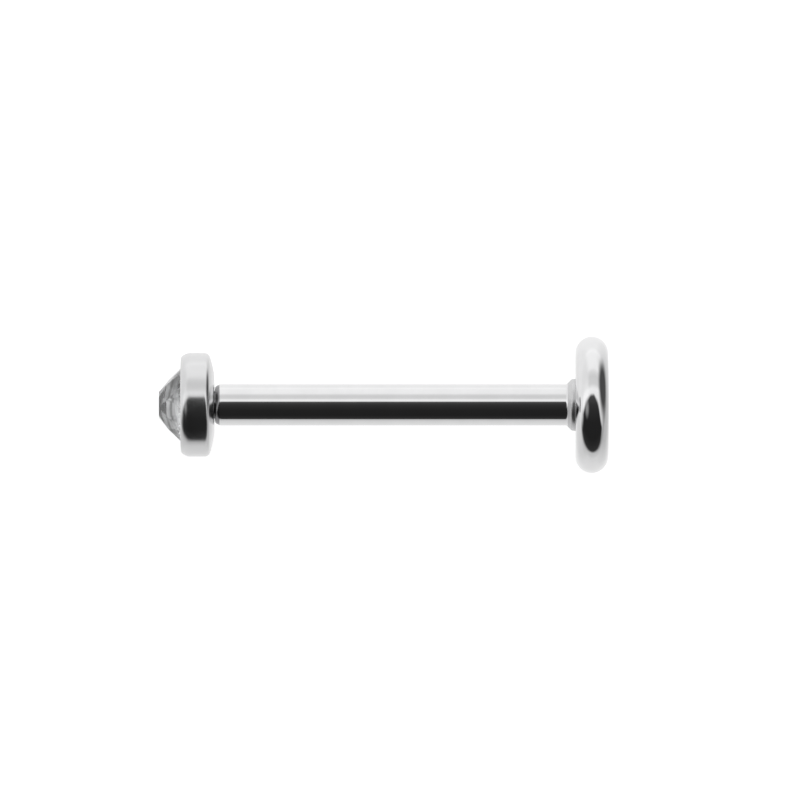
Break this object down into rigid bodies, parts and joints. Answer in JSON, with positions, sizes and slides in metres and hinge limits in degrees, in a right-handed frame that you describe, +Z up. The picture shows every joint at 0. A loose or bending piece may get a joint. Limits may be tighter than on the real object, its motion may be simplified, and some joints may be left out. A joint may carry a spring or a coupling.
{
  "type": "labret stud",
  "caption": "Straight body-jewellery stud: a slim bar with a flat round disc on one end and a round cup with a cut clear crystal screwed to the other.",
  "frame": {"origin": "centre of the footprint at the surface that the stud lies on; it lies on its side and touches at the disc's rim and the cup's lip", "axes": "+X from the crystal to the disc, +Z up; the bar's axis rises 2.35 degrees towards the disc, because the disc is wider than the cup"},
  "size_m": [0.013, 0.004, 0.0039],
  "materials": {
    "steel": "polished surgical steel",
    "cup_steel": "polished surgical steel",
    "crystal": "clear cut glass, silver foil behind"
  },
  "bodies": {
    "root": {"labret_post": "steel", "gem_cup": "cup_steel", "crystal": "crystal"}
  },
  "joints": []
}
